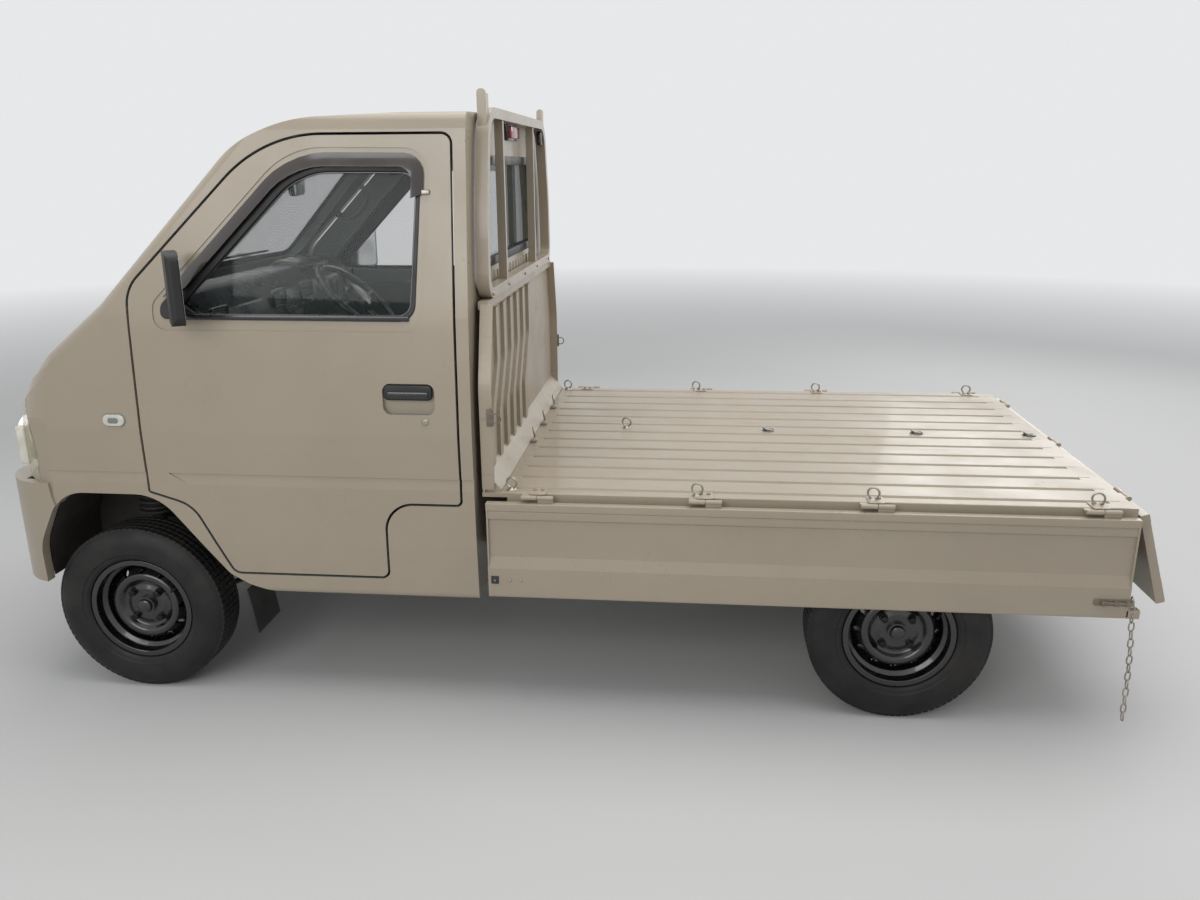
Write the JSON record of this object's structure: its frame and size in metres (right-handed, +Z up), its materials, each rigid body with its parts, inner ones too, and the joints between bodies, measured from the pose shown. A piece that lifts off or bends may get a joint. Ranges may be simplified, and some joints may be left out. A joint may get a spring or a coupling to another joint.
{
  "type": "kei truck",
  "caption": "Small forward-control pickup truck with a two-seat cab, black steel wheels, a ribbed flat bed, a tube guard frame and all bed gates folded down",
  "frame": {"origin": "on the ground under the middle of the whole truck's box", "axes": "+X to the truck's rear, +Y to its right, +Z up"},
  "size_m": [3.4958, 1.7122, 1.821],
  "materials": {
    "body_paint": "dull khaki-beige paint",
    "inner_panel": "khaki-beige paint under worn mats",
    "black_plastic": "grained black plastic",
    "dark_trim": "dark moulded plastic",
    "seat_cloth": "black vinyl",
    "clear_glass": "clear safety glass",
    "lamp_glass": "clear lamp cover",
    "red_lens": "red lamp lens",
    "tyre_rubber": "matte black rubber",
    "wheel_black": "gloss black paint",
    "chassis_black": "dusty black paint with surface rust",
    "engine_metal": "dirty cast metal",
    "bare_steel": "dull steel with rust",
    "flap_rubber": "matte black rubber sheet"
  },
  "bodies": {
    "truck": {"chassis_frame": "chassis_black", "frame_rear_rails": "chassis_black", "frame_cross_members": "chassis_black", "engine_block": "engine_metal", "rear_axle": "chassis_black", "rear_springs": "chassis_black", "propeller_shaft": "chassis_black", "exhaust": "bare_steel", "fuel_tank": "chassis_black", "battery_box": "black_plastic", "front_suspension": "chassis_black", "front_struts": "chassis_black", "front_panel": "body_paint", "wing_left": "body_paint", "wing_right": "body_paint", "headlamps": "lamp_glass", "cab_side_left": "body_paint", "cab_side_right": "body_paint", "cab_roof": "body_paint", "cab_back_wall": "body_paint", "cowl": "body_paint", "windscreen": "clear_glass", "rear_window": "clear_glass", "arch_liners": "black_plastic", "front_bumper": "body_paint", "cab_floor": "inner_panel", "dashboard": "dark_trim", "seat_cushions": "seat_cloth", "seat_backs": "seat_cloth", "bed_floor": "body_paint", "headboard": "body_paint", "guard_frame": "body_paint", "tie_rings": "bare_steel", "rear_bar": "chassis_black", "tail_lamps": "red_lens", "bed_cross_members": "body_paint", "front_mud_flaps": "flap_rubber", "bed_hinges": "body_paint"},
    "door_left_body": {"door_left": "body_paint", "door_glass_left": "clear_glass", "mirror_left": "black_plastic"},
    "side_gate_left_body": {"side_gate_left": "body_paint"},
    "steered_left": {"knuckle_left": "bare_steel"},
    "door_right_body": {"door_right": "body_paint", "door_glass_right": "clear_glass", "mirror_right": "black_plastic"},
    "side_gate_right_body": {"side_gate_right": "body_paint"},
    "steered_right": {"knuckle_right": "bare_steel"},
    "wheel_front_left": {"tyre_front_left": "tyre_rubber", "rim_front_left": "wheel_black"},
    "wheel_front_right": {"tyre_front_right": "tyre_rubber", "rim_front_right": "wheel_black"},
    "wheel_rear_left": {"tyre_rear_left": "tyre_rubber", "rim_rear_left": "wheel_black"},
    "wheel_rear_right": {"tyre_rear_right": "tyre_rubber", "rim_rear_right": "wheel_black"},
    "tailgate_body": {"tailgate": "body_paint"},
    "steering_wheel_body": {"steering_wheel": "dark_trim"}
  },
  "joints": [
    {"name": "door_left_hinge", "type": "hinge", "parent": "truck", "child": "door_left_body", "pos_m": [-1.2178, -0.737, 0.8], "axis": [0, -0.0436, -0.999], "range_deg": [0, 65]},
    {"name": "door_right_hinge", "type": "hinge", "parent": "truck", "child": "door_right_body", "pos_m": [-1.2178, 0.737, 0.8], "axis": [0, -0.0436, 0.999], "range_deg": [0, 65]},
    {"name": "side_gate_left_hinge", "type": "hinge", "parent": "truck", "child": "side_gate_left_body", "pos_m": [0.7112, -0.73, 0.687], "axis": [-1, 0, 0], "range_deg": [0, 180]},
    {"name": "side_gate_right_hinge", "type": "hinge", "parent": "truck", "child": "side_gate_right_body", "pos_m": [0.7112, 0.73, 0.687], "axis": [1, 0, 0], "range_deg": [0, 180]},
    {"name": "tailgate_hinge", "type": "hinge", "parent": "truck", "child": "tailgate_body", "pos_m": [1.6512, 0, 0.687], "axis": [0, -1, 0], "range_deg": [0, 163]},
    {"name": "steer_left", "type": "hinge", "parent": "truck", "child": "steered_left", "pos_m": [-1.3288, -0.56, 0.271], "axis": [0, 0, 1], "range_deg": [-30, 30]},
    {"name": "steer_right", "type": "hinge", "parent": "truck", "child": "steered_right", "pos_m": [-1.3288, 0.56, 0.271], "axis": [0, 0, 1], "range_deg": [-30, 30]},
    {"name": "steering_wheel_turn", "type": "hinge", "parent": "truck", "child": "steering_wheel_body", "pos_m": [-0.9108, 0.33, 1.12], "axis": [0.6691, 0, 0.7431], "range_deg": [-545, 545]},
    {"name": "wheel_front_left_spin", "type": "hinge", "parent": "steered_left", "child": "wheel_front_left", "pos_m": [-1.3288, -0.645, 0.271], "axis": [0, 1, 0], "continuous": true},
    {"name": "wheel_front_right_spin", "type": "hinge", "parent": "steered_right", "child": "wheel_front_right", "pos_m": [-1.3288, 0.645, 0.271], "axis": [0, 1, 0], "continuous": true},
    {"name": "wheel_rear_left_spin", "type": "hinge", "parent": "truck", "child": "wheel_rear_left", "pos_m": [1.0212, -0.64, 0.271], "axis": [0, 1, 0], "continuous": true},
    {"name": "wheel_rear_right_spin", "type": "hinge", "parent": "truck", "child": "wheel_rear_right", "pos_m": [1.0212, 0.64, 0.271], "axis": [0, 1, 0], "continuous": true}
  ],
  "couplings": [
    {"joint": "steer_right", "follows": "steer_left", "ratio": 1},
    {"joint": "steering_wheel_turn", "follows": "steer_left", "ratio": 18}
  ]
}
